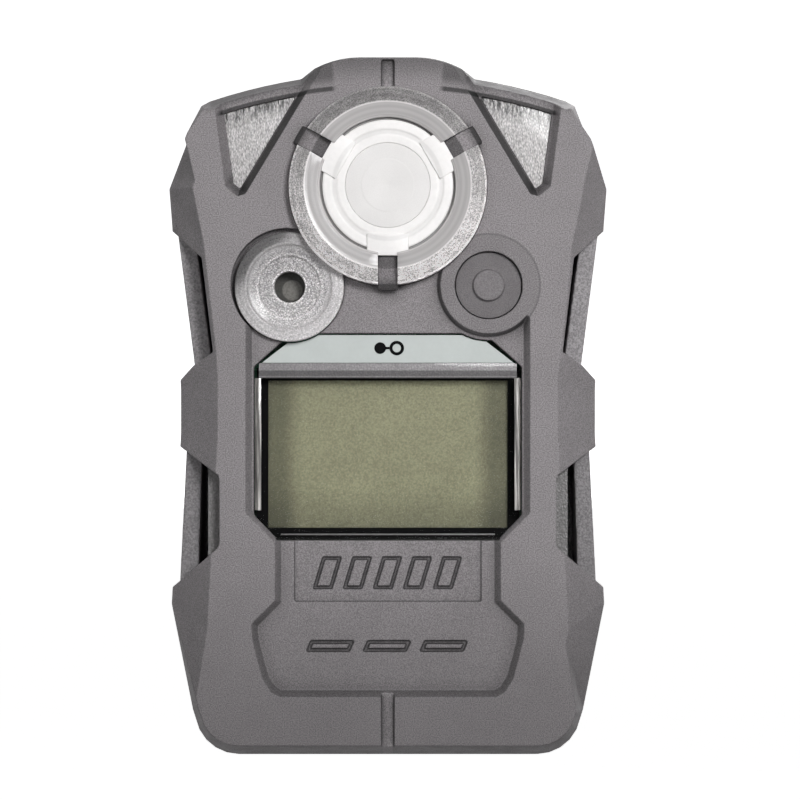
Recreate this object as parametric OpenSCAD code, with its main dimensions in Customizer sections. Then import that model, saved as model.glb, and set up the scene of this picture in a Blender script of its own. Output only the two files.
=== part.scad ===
// Portable gas detector with a clip.
// X is the width, Z is up, and the front faces -Y. It stands on its bottom edge at Z = 0.

/* [Depth, front to back] */
// Front of the gas inlet ring
ring_front_y = -24; // [-25:0.5:-23.5]
// Raised front surface of the soft jacket
front_y = -21; // [-21.5:0.1:-20.8]
// How far the front recess lies below the raised surface
recess_depth = 1; // [0.8:0.1:1.2]
// Plane where the front and rear halves meet
part_y = -8; // [-8.5:0.1:-7.5]
// Back surface of the housing
back_y = 5; // [4.8:0.1:5.4]

/* [Shells] */
// Wall thickness of the rigid shells
wall = 1.5; // [1.2:0.1:1.6]
// Thickness of the soft jacket under the recess
skin = 1.4; // [1.2:0.1:1.6]
// Radius of the screw bosses
boss_r = 2.3; // [2.2:0.1:2.5]

/* [Gas inlet] */
// Height of the inlet's centre
inlet_z = 70.45; // [70:0.05:71]
// Outer radius of the inlet ring
ring_r = 12.15; // [12:0.05:12.3]
// Radius of the ring's crest
crest_r = 10.2; // [9.9:0.1:10.4]
// Radius of the sensor cell
cell_r = 8.5; // [8.2:0.1:8.5]

/* [Sounder and button] */
// Centre of the sounder port, from the middle
horn_x = -12.1; // [-12.2:0.1:-12]
// Height of the sounder port
horn_z = 58.1; // [58:0.1:58.3]
// Radius of the sounder boss
horn_r = 6.6; // [6.5:0.1:6.7]
// Radius of the sounder port
port_r = 1.9; // [1.7:0.1:2.1]
// Centre of the button, from the middle
button_x = 12.4; // [12.3:0.1:12.5]
// Height of the button
button_z = 58.3; // [58.2:0.1:58.4]
// Radius of the button
button_r = 4.06; // [3.9:0.02:4.08]
// How far the button travels
button_travel = 0.8; // [0.6:0.1:0.8]

/* [Display] */
// Width of the display's visible area
lcd_w = 29.6; // [29:0.1:30]
// Height of the display's visible area
lcd_h = 18.2; // [18:0.1:18.3]
// Bottom of the display's visible area
lcd_z = 28.4; // [28.2:0.1:28.6]

/* [Battery and motor] */
// Radius of the battery cell
battery_r = 7.75; // [7.5:0.05:7.75]
// Length of the battery cell
battery_l = 27; // [26:0.5:27]
// Radius of the vibration motor's can
motor_r = 3; // [2.6:0.1:3]

/* [Clip] */
// Width of the clip's base plate
clip_w = 16; // [15:0.5:17]
// Thickness of the clip's steel
clip_t = 1; // [0.8:0.1:1]
// Radius of the clip's pivot pin
pin_r = 1.5; // [1.4:0.05:1.5]
// Height of the clip's pivot
pivot_z = 47; // [46:0.5:48]
// Distance of the clip's pivot behind the housing
pivot_out = 7.2; // [7:0.1:7.4]

/* [Hidden] */
$fn = 64;
eps = 0.01;

// Depths worked out from the driving ones
floor_y = front_y + recess_depth;
shell_y = floor_y + skin;
inner_y = shell_y + wall;
pane_y = shell_y - 0.7;
pocket_y = front_y + 1.6;
window_y = shell_y - 0.5;
widest_y = front_y + 6.5;
rail_y = front_y + 5.5;
board_y = -11.6;
board_t = 1;
board_back_y = board_y + board_t;
rear_inner_y = back_y - 1.2 - wall;
rear_skin_y = back_y - 1.2;

// Slopes and widths
recess_wall = 0.8;
pocket_wall = 0.85;
window_ledge = 0.15;
channel_w = 1.6;
channel_depth = 0.6;
panel_depth = 0.3;
groove_w = 0.42;
groove_depth = 0.35;
fit_gap = 0.1;
screw_r = 1.1;
screw_head_r = 2.1;
screw_sink = 2.4;
seal_t = 0.7;
label_sink = 0.25;
rear_ledge = 4.6;
rib_w = 2.4;
rib_inner_r = 8.3;
finger_y = floor_y + 0.4;
land_w = 5.1;
retainer_r = 8;
inlet_bore_r = 8.6;

// The sensor stack, front to back
retainer_y = ring_front_y + 0.8;
filter_y = retainer_y + 0.6;
filter_t = 0.3;
filter_r = 6.35;
gasket_y = filter_y + filter_t;
cell_y = gasket_y + 1.5;
cell_back_y = -13.4;
pin_angles = [90, 210, 330];
pin_circle_r = 5;
pin_depth = 1.2;
cell_pin_r = 0.6;
pin_hole_r = 0.62;

// The shoulder is an arc about a point low on the centre line
shoulder_c = [0, 15.1];
shoulder_r = 70;
window_arc_r = shoulder_r - 2.55;

// Battery and motor places
battery_at = [0, -6.8, 17.6];
motor_at = [-16, -7.2, 32];
motor_l = 11;

// Right half of the board, from the top down
board_half = [[12, 80.4], [17, 76.5], [17, 55], [19.1, 53], [19.1, 26.8]];

// Screw places, in X and Z
housing_screw_at = [[-20, 66], [20, 66], [-17.4, 6.6], [17.4, 6.6]];
board_screw_at = [[-17.6, 50.7], [17.6, 50.7]];
clip_screw_z = 57;

// Button and switch, front to back
key_y = front_y + 0.7;
key_nub_r = 2.05;
key_flange_r = 5;
button_boss_front_r = 5.55;
button_boss_back_r = 6.7;
plunger_y = -15;
plunger_end_y = -13.1;
plunger_r = 1.2;
switch_y = -13.9;
switch_hole_y = plunger_end_y + button_travel + 0.1;

// Sounder boss: lip, step and port
horn_lip_r = 5.3;
horn_step_r = 3.9;
horn_gap = 0.15;
horn_relief = 0.3;

// Middle of the housing
half_w = 27.3;
mid_z = 43.5;

// Clip places
pivot_y = back_y + pivot_out;
ear_x = clip_w / 2 - clip_t;
jaw_w = 2 * ear_x - 0.2;

// Sunk panel that holds the badge's mark, and the blank plate on the back
badge_panel = [[-11.5, 19.4], [-11.5, 27], [11.5, 27], [11.5, 19.4]];
label_plate = [[-11, 8.5], [-11, 20.5], [11, 20.5], [11, 8.5]];

// The clip's parts seen from the side, in Y and Z
base_path = [[back_y + 2.1, 20.6], [back_y + 1.5, 22.4], [back_y + 0.5, 24.4], [back_y + 0.5, 64]];
jaw_path = [
    [back_y + 3.35, 20.6], [back_y + 3.6, 23.4], [back_y + 10.2, 35], [back_y + 13, 47],
    [back_y + 16.2, 61.5], [back_y + 18.544, 66.4]
];
ear_profile = [[back_y, 40], [back_y, 54], [pivot_y + 2, 50.5], [pivot_y + 3.2, 47], [pivot_y + 2, 43.5]];
jaw_ear = [
    [pivot_y - 2.6, 45.2], [pivot_y - 2.6, 48.8], [pivot_y - 0.6, 50.4], [pivot_y + 7, 53.4],
    [pivot_y + 5.9, 47.5], [pivot_y + 3.5, 38]
];
pin_head_r = 2.2;
pin_head_t = 0.6;
tooth_w = 1;
teeth_each_side = 3;
jaw_hole_r = 3.1;
stop_w = 6;
stop_h = 3;
stop_z = 29;
stop_gap = 0.05;

// The torsion spring's coil, in turns of straight steps
spring_r = 2.5;
spring_wire = 0.45;
spring_turns = 4;
spring_steps = 14;
spring_half = 2.6;
function spring_at(x, a, r) = [x, pivot_y + r * cos(a), pivot_z + r * sin(a)];
spring_path = concat(
    [[-spring_half, back_y + 1.6, 55.6], [-spring_half, back_y + 1.9, 51]],
    [for (i = [0:spring_turns * spring_steps])
        let (t = i / (spring_turns * spring_steps))
        spring_at(-spring_half + 2 * spring_half * t, 170 + (360 * spring_turns + 20) * t, spring_r)],
    [[spring_half, pivot_y - 0.6, 52], [spring_half, pivot_y + 7, 58]]
);

function arc(c, r, a0, a1, n) =
    [for (i = [0:n]) c + r * [cos(a0 + (a1 - a0) * i / n), sin(a0 + (a1 - a0) * i / n)]];
function flip(points) = [for (i = [len(points) - 1:-1:0]) [-points[i][0], points[i][1]]];
// A right half, listed from the top down, closed into a whole outline
function whole(half) = concat(half, flip(half));
function unit(v) = v / norm(v);
function left_of(v) = [-v[1], v[0]];
// The corner at b moved inwards by d, between edges a-b and b-c of a clockwise outline
function corner_in(a, b, c, d) =
    let (m = -left_of(unit(b - a)), n = -left_of(unit(c - b)))
    b + (m + n) * d / (1 + m * n);
function inset(p, d) =
    [for (i = [0:len(p) - 1])
        corner_in(p[(i + len(p) - 1) % len(p)], p[i], p[(i + 1) % len(p)], d)];
// An outline drawn in towards the middle of the housing by about d, by scaling
function shrunk(p, d) =
    [for (q = p) [q[0] * (1 - d / half_w), mid_z + (q[1] - mid_z) * (1 - d / mid_z)]];
// An open path widened to a band of thickness t
function band(p, t) =
    let (
        last = len(p) - 1,
        ends = concat([2 * p[0] - p[1]], p, [2 * p[last] - p[last - 1]]),
        a = [for (i = [1:last + 1]) corner_in(ends[i - 1], ends[i], ends[i + 1], t / 2)],
        b = [for (i = [last + 1:-1:1]) corner_in(ends[i - 1], ends[i], ends[i + 1], -t / 2)]
    )
    concat(a, b);

// Draws a flat X-Z shape solid from y0 back to y1
module slab(y0, y1) {
    translate([0, y1, 0]) rotate([90, 0, 0]) linear_extrude(y1 - y0) children();
}
// Draws a flat Y-Z shape solid from x0 to x1
module side_slab(x0, x1) {
    translate([x0, 0, 0]) rotate([90, 0, 90]) linear_extrude(x1 - x0) children();
}
// A cylinder along Y, from y0 back to y1
module rod(x, z, y0, y1, r0, r1) {
    translate([x, y1, z]) rotate([90, 0, 0]) cylinder(y1 - y0, r1, r0);
}
// A turned profile of radius against Y, about an axis along Y
module turned(x, z) {
    translate([x, 0, z]) rotate([-90, 0, 0]) rotate_extrude() children();
}
module both_sides() {
    children();
    mirror([1, 0, 0]) children();
}
// A closed skin over rings of points, each ring in the same order
module loft(rings) {
    n = len(rings[0]);
    levels = len(rings);
    points = [for (ring = rings) each ring];
    sides = [for (k = [0:levels - 2]) for (i = [0:n - 1])
        each [[k * n + i, (k + 1) * n + (i + 1) % n, k * n + (i + 1) % n],
              [k * n + i, (k + 1) * n + i, (k + 1) * n + (i + 1) % n]]];
    near = [for (i = [0:n - 1]) i];
    far = [for (i = [n - 1:-1:0]) (levels - 1) * n + i];
    polyhedron(points, concat([near], sides, [far]));
}
function at_y(outline, y) = [for (p = outline) [p[0], y, p[1]]];
// Keeps what lies between two depths
module between(y0, y1) {
    intersection() {
        children();
        translate([-50, y0, -50]) cube([100, y1 - y0, 200]);
    }
}
function mix(a, b, t) = [for (i = [0:len(a) - 1]) a[i] + (b[i] - a[i]) * t];
// A cutter with sloped sides: it is exactly the outline at y0 and smaller by d at y1
module sloped_cut(outline, d, y0, y1) {
    over = 0.5;
    grow = d * over / (y1 - y0);
    between(y0 - over, y1) loft([
        at_y(inset(outline, -2 * grow), y0 - 2 * over),
        at_y(inset(outline, d + grow), y1 + over)
    ]);
}
// A round wire along a path that never runs parallel to X
module wire(path, r, sides) {
    last = len(path) - 1;
    rings = [for (i = [0:last])
        let (
            t = unit(path[min(i + 1, last)] - path[max(i - 1, 0)]),
            n = unit(cross([1, 0, 0], t)),
            b = cross(t, n)
        )
        [for (k = [0:sides - 1])
            path[i] + r * (cos(360 * k / sides) * n + sin(360 * k / sides) * b)]];
    loft(rings);
}

// Right half of the widest outline, from the top down
outer_half = concat(
    arc([3.5, 75], 12, 90, 62, 5),
    [[9.9, 85.0]],
    arc(shoulder_c, shoulder_r, 81.1, 71.5, 5),
    [
        [23.3, 80.9], [25.05, 76.4], [27.3, 70.5], [26.95, 66], [25.85, 45.5], [25.85, 40],
        [27, 18.8], [24.35, 5.6]
    ],
    arc([18.6, 5.5], 5.5, -10, -90, 5)
);
// The same points where the raised front surface ends and the sides begin to slope back
crease_half = concat(
    arc([3.5, 74.4], 11.8, 90, 62, 5),
    [[9.5, 84.2]],
    arc(shoulder_c, shoulder_r - 1.6, 81.1, 71.5, 5),
    [
        [22.7, 79.9], [24.95, 76.3], [24.0, 70.3], [22.5, 62.5], [20.9, 47], [20.9, 40],
        [22.2, 16], [23.2, 5.8]
    ],
    arc([18.4, 6.4], 4.7, -10, -90, 5)
);
// Front shell and rear shell, both inside the jackets
front_half = [
    [7.6, 85.1], [9.7, 82.9], [21.6, 79.6], [24.6, 70.3], [23.4, 65.5], [22.35, 61.6],
    [21, 50], [21, 44], [21.2, 40.5], [22.2, 38.5], [22.2, 8], [21.6, 4], [19, 1.6]
];
rear_half = [
    [7.8, 85.3], [9.9, 83.1], [22.3, 79.9], [26.2, 70], [26.3, 66], [23.75, 46],
    [23.6, 43], [24.98, 40], [26, 19.5], [25.6, 18], [23.2, 6], [22.2, 3.6], [19, 1.4]
];
// Side rails of the rear shell, which show in the grip notches
upper_rail = [[24.2, 66], [26.3, 66], [23.75, 46], [21.52, 46]];
lower_rail = [[23.05, 40], [24.98, 40], [26, 19.5], [23.67, 19.5]];
// Grip notches cut in the front jacket, and the shallower ones cut in the rear jacket
upper_notch = [[30, 68], [30, 42.6], [24.1, 48.5], [21.5, 50.1], [22.9, 61.7]];
lower_notch = [[30, 41.1], [30, 18.17], [20.9, 26], [20.7, 26.5], [20.7, 34.4], [20.9, 35]];
upper_rear_notch = [[30, 68], [30, 42.6], [23.6, 49], [25.5, 64]];
lower_rear_notch = [[30, 41.1], [30, 18.17], [25.2, 22.3], [24.6, 37.5]];
// The front recess that holds the display and the blank badge
recess_half = [
    [6, 64], [12.4, 58.3], [17.5, 54.4], [17.5, 30.3], [13.9, 26.7], [13.9, 19.6], [16.8, 16.7],
    [16.7, 14.8], [16.1, 12.4], [15.4, 9.9], [14.4, 8.3], [13.3, 7.7]
];
// The pocket round an alarm window, open at the shoulder
pocket = [
    [6.33, 88], [22.36, 88], [21.3, 80.1], [20, 70.4], [18.5, 69.2], [17.5, 69.5]
];
// The display opening, before the bosses are taken off
opening_half = [[11.9, 52.4], [16.5, 48.3], [16.5, 30], [13.8, 27.2], [13.8, 26.9]];
label_half = [[11.1, 52.2], [15.5, 48.8]];

outer = whole(outer_half);
crease = whole(crease_half);
front_outline = whole(front_half);
rear_outline = whole(rear_half);
front_inner = inset(front_outline, wall);
rear_inner = inset(rear_outline, wall);

module outline(points) { polygon(points); }
module boss_circles(gap) {
    translate([horn_x, horn_z]) circle(horn_r + gap);
    translate([button_x, button_z]) circle(horn_r + gap);
}
module opening_shape() {
    difference() {
        outline(whole(opening_half));
        boss_circles(0.15);
    }
}
module window_shape() {
    intersection() {
        outline(inset(pocket, pocket_wall + window_ledge));
        translate(shoulder_c) circle(window_arc_r, $fn = 256);
    }
}

// Slanted frames that stand for the badge's mark
module slanted_frame(x, z, w, h, lean) {
    o = [[0, 0], [lean, h], [w + lean, h], [w, 0]];
    difference() {
        translate([x, z]) outline(o);
        translate([x, z]) outline(inset(o, groove_w));
    }
}
module badge_mark() {
    bars = 5;
    pitch = 3.7;
    for (i = [0:bars - 1]) slanted_frame((i - bars / 2) * pitch, 20.9, 2.4, 4, 1.2);
}
module name_mark() {
    bars = 3;
    pitch = 7;
    for (i = [0:bars - 1]) slanted_frame((i - bars / 2) * pitch + 0.4, 13.2, 5.4, 1.4, 0.6);
}

module jacket_front_form() {
    over = 1;
    ahead = mix(crease, outer, -over / (widest_y - front_y));
    between(front_y, part_y)
        loft([at_y(ahead, front_y - over), at_y(outer, widest_y), at_y(outer, part_y + over)]);
}
module recess_cut() {
    difference() {
        sloped_cut(whole(recess_half), recess_wall, front_y, floor_y);
        rod(button_x, button_z, front_y - 1, floor_y + 1, button_boss_front_r, button_boss_back_r);
    }
}
// Side rails of the rear shell, which reach forward into the grip notches
module side_rails() {
    both_sides() slab(rail_y, part_y) {
        outline(upper_rail);
        outline(lower_rail);
    }
}
// A shallow upright groove on the centre line
module centre_channel(z0, z1) {
    translate([-channel_w / 2, front_y - 1, z0]) cube([channel_w, 1 + channel_depth, z1 - z0]);
}
// Three fingers of the jacket that hold the inlet ring down
module ring_fingers(w, extra) {
    for (a = [30, 150, 270]) translate([0, 0, inlet_z]) rotate([0, -a, 0])
        translate([0, 0, -w / 2]) linear_extrude(w)
            outline([
                [rib_inner_r - extra, finger_y],
                [rib_inner_r - extra, ring_front_y + 1.4 - extra],
                [crest_r, ring_front_y + 1.1 - extra],
                [ring_r - 0.1, front_y - 1.0 - extra],
                [ring_r + 0.6, front_y - 0.2 - extra],
                [ring_r + 0.6, finger_y]
            ]);
}

module front_overmould() {
    color([0.49, 0.475, 0.48]) {
        difference() {
            jacket_front_form();
            slab(shell_y, part_y + 1) outline(front_outline);
            side_rails();
            both_sides() slab(front_y - 1, part_y + 1) {
                outline(upper_notch);
                outline(lower_notch);
            }
            recess_cut();
            both_sides() sloped_cut(pocket, pocket_wall, front_y, pocket_y);
            both_sides() slab(front_y - 1, shell_y + 1) window_shape();
            slab(front_y - 1, shell_y + 1) opening_shape();
            rod(horn_x, horn_z, front_y - 1, shell_y + 1, horn_r + horn_gap, horn_r + horn_gap);
            rod(horn_x - horn_relief, horn_z + horn_relief, front_y - 1, floor_y + 0.3,
                horn_r + horn_relief, horn_r + horn_relief);
            rod(0, inlet_z, front_y - 1, shell_y + 1, ring_r + 0.05, ring_r + 0.05);
            rod(button_x, button_z, front_y - 1, shell_y + 1, button_r + fit_gap, button_r + fit_gap);
            centre_channel(-1, 8.5);
            centre_channel(82.6, 86);
            slab(floor_y - 1, floor_y + panel_depth) outline(badge_panel);
            slab(floor_y, floor_y + panel_depth + groove_depth) badge_mark();
            slab(floor_y - 1, floor_y + groove_depth) name_mark();
        }
        difference() {
            intersection() {
                ring_fingers(rib_w, 0);
                rod(0, inlet_z, ring_front_y - 1, shell_y, ring_r + 0.6, ring_r + 0.6);
            }
            rod(0, inlet_z, cell_y - fit_gap, shell_y, cell_r + fit_gap, cell_r + fit_gap);
        }
    }
}
module front_shell() {
    color([0.82, 0.83, 0.83, 0.55]) difference() {
        union() {
            difference() {
                slab(shell_y, part_y) outline(front_outline);
                slab(inner_y, part_y + 1) outline(front_inner);
            }
            slab(pane_y, shell_y + eps) opening_shape();
            both_sides() slab(window_y, shell_y + eps) window_shape();
            rod(horn_x, horn_z, front_y, shell_y + eps, horn_r, horn_r);
            rod(0, inlet_z, shell_y, -15, cell_r + 1.4, cell_r + 1.4);
            for (p = housing_screw_at) rod(p[0], p[1], shell_y, part_y, boss_r, boss_r);
            for (p = board_screw_at) rod(p[0], p[1], inner_y - eps, board_y, 1.7, 1.7);
        }
        turned(horn_x, horn_z) polygon([
            [0, front_y - 1], [horn_lip_r, front_y - 1], [horn_lip_r, front_y],
            [horn_lip_r - 0.2, front_y + 0.3], [horn_step_r, front_y + 0.55],
            [horn_step_r - 0.2, front_y + 0.95], [port_r + 0.15, front_y + 1.05], [port_r, front_y + 1.2],
            [port_r, inner_y + 1], [0, inner_y + 1]
        ]);
        rod(0, inlet_z, shell_y - 3, shell_y, ring_r + 0.05, ring_r + 0.05);
        rod(0, inlet_z, shell_y - 1, -14, cell_r + 0.2, cell_r + 0.2);
        rod(button_x, button_z, shell_y - 1, inner_y + 1, button_r + fit_gap, button_r + fit_gap);
        for (p = housing_screw_at) rod(p[0], p[1], -15, part_y + 1, screw_r, screw_r);
        for (p = board_screw_at) rod(p[0], p[1], -15, board_y + 1, 0.8, 0.8);
    }
}
module seal_shape() {
    difference() {
        outline(inset(front_outline, 0.45));
        outline(inset(front_outline, 1.1));
    }
}
module rear_shell() {
    rim_y = part_y + wall;
    color([0.33, 0.33, 0.34]) difference() {
        union() {
            slab(part_y, rear_skin_y) outline(rear_outline);
            slab(rear_skin_y - eps, back_y) outline(inset(rear_outline, rear_ledge));
            side_rails();
            translate([-stop_w / 2, back_y - eps, stop_z]) cube([stop_w, clip_t, stop_h]);
        }
        difference() {
            slab(rim_y, rear_inner_y) outline(rear_inner);
            for (p = housing_screw_at)
                rod(p[0], p[1], part_y, rear_inner_y + 1, boss_r + 0.4, boss_r + 0.4);
            rod(0, clip_screw_z, -2.5, rear_inner_y + 1, 3, 3);
        }
        slab(part_y - 1, rim_y + eps) difference() {
            outline(front_inner);
            for (p = housing_screw_at) translate(p) circle(boss_r + 0.4);
        }
        slab(part_y - 1, part_y + seal_t) seal_shape();
        for (p = housing_screw_at) {
            rod(p[0], p[1], part_y - 1, back_y + 1, screw_r + 0.1, screw_r + 0.1);
            rod(p[0], p[1], back_y - screw_sink, back_y + 1, screw_head_r + 0.2, screw_head_r + 0.2);
        }
        rod(0, clip_screw_z, -2, back_y + 1, 1.4, 1.4);
        slab(back_y - label_sink, back_y + 1) outline(label_plate);
    }
}
module rear_overmould() {
    color([0.43, 0.42, 0.43]) difference() {
        between(part_y, back_y) loft([
            at_y(outer, part_y - 1), at_y(outer, back_y - 4),
            at_y(shrunk(outer, 1.6), back_y - 0.6), at_y(shrunk(outer, 2.8), back_y + 0.6)
        ]);
        slab(part_y - 1, rear_skin_y) outline(rear_outline);
        slab(rear_skin_y - 1, back_y + 1) outline(inset(rear_outline, rear_ledge));
        both_sides() slab(part_y - 1, back_y + 1) {
            outline(upper_rear_notch);
            outline(lower_rear_notch);
        }
        for (p = housing_screw_at)
            rod(p[0], p[1], back_y - 3, back_y + 1, screw_head_r + 0.5, screw_head_r + 0.5);
    }
}
module housing_seal() { color([0.12, 0.12, 0.12]) slab(part_y, part_y + seal_t) seal_shape(); }
module housing_screws() {
    head_y = back_y - screw_sink;
    color([0.62, 0.62, 0.64]) for (p = housing_screw_at) difference() {
        union() {
            rod(p[0], p[1], -14.4, head_y + eps, screw_r - 0.02, screw_r - 0.02);
            rod(p[0], p[1], head_y, head_y + 1.5, screw_head_r, screw_head_r - 0.2);
        }
        translate([p[0], head_y + 0.5, p[1]]) rotate([-90, 0, 0]) cylinder(3, 1, 1, $fn = 6);
    }
}
module rear_label() {
    color([0.75, 0.76, 0.75]) slab(back_y - label_sink, back_y - 0.05) outline(inset(label_plate, 0.3));
}

module inlet_ring() {
    color([0.86, 0.87, 0.87, 0.6]) difference() {
        turned(0, inlet_z) polygon([
            [inlet_bore_r, shell_y], [ring_r, shell_y], [ring_r, ring_front_y + 1.6],
            [crest_r, ring_front_y], [inlet_bore_r + 0.3, ring_front_y + 0.15],
            [inlet_bore_r, ring_front_y + 0.45]
        ]);
        for (a = [30, 150, 270]) translate([0, 0, inlet_z]) rotate([0, -a, 0])
            translate([inlet_bore_r - 1, ring_front_y - 1, -rib_w / 2])
                cube([6, finger_y - ring_front_y + 1, rib_w]);
    }
}
// White disc with three lands that reach the ring, open in the middle for the filter
module inlet_retainer() {
    color([0.93, 0.93, 0.92]) difference() {
        union() {
            rod(0, inlet_z, retainer_y, retainer_y + 1.6, retainer_r, retainer_r);
            intersection() {
                for (a = [30, 150, 270]) translate([0, 0, inlet_z]) rotate([0, -a, 0])
                    translate([0, retainer_y + 0.6, -land_w / 2]) cube([10, 1, land_w]);
                rod(0, inlet_z, retainer_y, retainer_y + 1.6, inlet_bore_r, inlet_bore_r);
            }
        }
        ring_fingers(rib_w, 0.05);
        rod(0, inlet_z, retainer_y - 1, retainer_y + 2, 5.2, 5.2);
        rod(0, inlet_z, filter_y, retainer_y + 2, filter_r, filter_r);
    }
}
module inlet_filter() {
    color([0.97, 0.97, 0.96]) union() {
        rod(0, inlet_z, filter_y, filter_y + filter_t, filter_r, filter_r);
        rod(0, inlet_z, filter_y - 0.15, filter_y + eps, 3.2, 3.2);
    }
}
module cell_gasket() {
    color([0.15, 0.15, 0.15]) turned(0, inlet_z)
        polygon([[4.6, gasket_y], [6.3, gasket_y], [6.3, cell_y], [4.6, cell_y]]);
}
// The places of the sensor's three contact pins
module at_pins() {
    for (a = pin_angles) translate([pin_circle_r * cos(a), 0, inlet_z + pin_circle_r * sin(a)]) children();
}
module sensor_cell() {
    color([0.9, 0.9, 0.86]) difference() {
        rod(0, inlet_z, cell_y, cell_back_y, cell_r, cell_r);
        rod(0, inlet_z, cell_y - 1, cell_y + 0.6, 1.2, 1.2);
        turned(0, inlet_z) polygon([[7.9, -17.6], [9, -17.6], [9, -17], [7.9, -17]]);
        at_pins() rod(0, 0, cell_back_y - pin_depth, cell_back_y + 1, cell_pin_r, cell_pin_r);
    }
}
module sensor_pins() {
    color([0.85, 0.7, 0.35])
        at_pins() rod(0, 0, cell_back_y - pin_depth, board_back_y + 0.6, cell_pin_r, cell_pin_r - 0.1);
}
module sensor_socket() {
    color([0.14, 0.14, 0.15]) difference() {
        rod(0, inlet_z, cell_back_y, board_y, 7.2, 7.2);
        at_pins() rod(0, 0, cell_back_y - 1, board_y + 1, pin_hole_r, pin_hole_r);
    }
}
module label_strip() {
    color([0.757, 0.78, 0.768]) slab(pane_y - 0.15, pane_y) difference() {
        outline(whole(label_half));
        boss_circles(0.3);
    }
}
// A disc and a ring joined by a bar, standing for the kind of gas
module display_mark() {
    color([0.05, 0.05, 0.05]) slab(pane_y - 0.19, pane_y - 0.15) {
        translate([-0.95, 50.6]) circle(0.72);
        translate([1.1, 50.6]) difference() {
            circle(0.9);
            circle(0.52);
        }
        translate([-0.5, 50.45]) square([0.85, 0.3]);
    }
}
module lcd_window() { translate([-lcd_w / 2, lcd_z]) square([lcd_w, lcd_h]); }
module lcd_frame() {
    color([0.03, 0.03, 0.03]) slab(inner_y, inner_y + 0.3) difference() {
        outline(whole([[16.2, 48.2], [16.2, 29.6], [13.8, 27.2]]));
        lcd_window();
    }
}
module lcd_glass() {
    color([0.54, 0.545, 0.435]) slab(inner_y + 0.3, inner_y + 2.1)
        outline(whole([[16, 48], [16, 26.9]]));
}
module lcd_connector() {
    color([0.6, 0.62, 0.7]) translate([-14, inner_y + 2.1, 27.2]) cube([28, board_y - inner_y - 2.1, 2]);
}
module horn_screen() { color([0.45, 0.45, 0.45]) rod(horn_x, horn_z, inner_y, inner_y + 0.25, 3, 3); }
module piezo_horn() {
    color([0.16, 0.16, 0.17]) difference() {
        rod(horn_x, horn_z, inner_y + 0.25, board_y, 6, 6);
        rod(horn_x, horn_z, inner_y - 1, inner_y + 1.5, 1.2, 1.2);
    }
}
module test_button() {
    color([0.48, 0.465, 0.47]) union() {
        rod(button_x, button_z, front_y + 0.15, key_y + 0.1, key_nub_r - 0.2, key_nub_r);
        rod(button_x, button_z, key_y, inner_y + 0.15, button_r, button_r);
        rod(button_x, button_z, inner_y + 0.1, inner_y + 0.8, key_flange_r, key_flange_r);
        rod(button_x, button_z, inner_y + 0.7, plunger_y, plunger_r + 0.3, plunger_r + 0.3);
    }
}
module button_switch() {
    color([0.1, 0.1, 0.1]) difference() {
        translate([button_x - 3, switch_y, button_z - 3]) cube([6, board_y - switch_y, 6]);
        rod(button_x, button_z, plunger_y, switch_hole_y, plunger_r + 0.06, plunger_r + 0.06);
    }
}
module button_plunger() {
    color([0.8, 0.2, 0.15]) rod(button_x, button_z, plunger_y, plunger_end_y, plunger_r, plunger_r);
}
module alarm_leds() {
    color([0.95, 0.93, 0.85]) both_sides() for (p = [[14.6, 74.2], [13.4, 78.2]]) {
        translate([p[0] - 1.5, board_y - 0.9, p[1] - 1.2]) cube([3, 0.9, 2.4]);
        rod(p[0], p[1], board_y - 1.8, board_y - 0.9 + eps, 0.8, 1.1);
    }
}
module motor_can() {
    color([0.75, 0.75, 0.77]) translate(motor_at) rotate([0, 90, 0]) difference() {
        union() {
            cylinder(motor_l, motor_r, motor_r);
            translate([0, 0, -0.6]) cylinder(0.7, 1.2, 1.2);
        }
        translate([0, 0, -1]) cylinder(3, 0.46, 0.46);
    }
}
module motor_weight() {
    color([0.55, 0.5, 0.45]) translate(motor_at) rotate([0, -90, 0]) {
        translate([0, 0, -1.8]) cylinder(4.2, 0.4, 0.4);
        translate([0, 0, 0.9]) difference() {
            cylinder(2.2, 2.7, 2.7);
            translate([0.9, -4, -1]) cube([8, 8, 5]);
            cylinder(8, 0.3, 0.3, center = true);
        }
    }
}
module motor_clip() {
    color([0.7, 0.7, 0.68]) translate([motor_at[0] + 3, 0, 0]) side_slab(0, 5) difference() {
        union() {
            translate([motor_at[1], motor_at[2]]) circle(motor_r + 0.3);
            translate([board_back_y, motor_at[2] - motor_r - 1.5]) square([0.3, 2 * motor_r + 3]);
            translate([board_back_y, motor_at[2] - motor_r - 0.3]) square([3.4, 2 * motor_r + 0.6]);
        }
        translate([motor_at[1], motor_at[2]]) circle(motor_r);
        translate([board_back_y, motor_at[2] - motor_r]) square([3.4, 2 * motor_r]);
    }
}
module main_board() {
    color([0.08, 0.33, 0.2]) difference() {
        slab(board_y, board_back_y) outline(whole(board_half));
        for (p = board_screw_at) rod(p[0], p[1], board_y - 1, board_back_y + 1, 0.9, 0.9);
        at_pins() rod(0, 0, board_y - 1, board_back_y + 1, pin_hole_r, pin_hole_r);
    }
}
module board_screws() {
    color([0.62, 0.62, 0.64]) for (p = board_screw_at) difference() {
        union() {
            rod(p[0], p[1], -14.6, board_back_y + eps, 0.78, 0.78);
            rod(p[0], p[1], board_back_y, board_back_y + 1.1, 1.7, 1.4);
        }
        translate([p[0] - 0.2, board_back_y + 0.6, p[1] - 1.1]) cube([0.4, 1, 2.2]);
        translate([p[0] - 1.1, board_back_y + 0.6, p[1] - 0.2]) cube([2.2, 1, 0.4]);
    }
}
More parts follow.
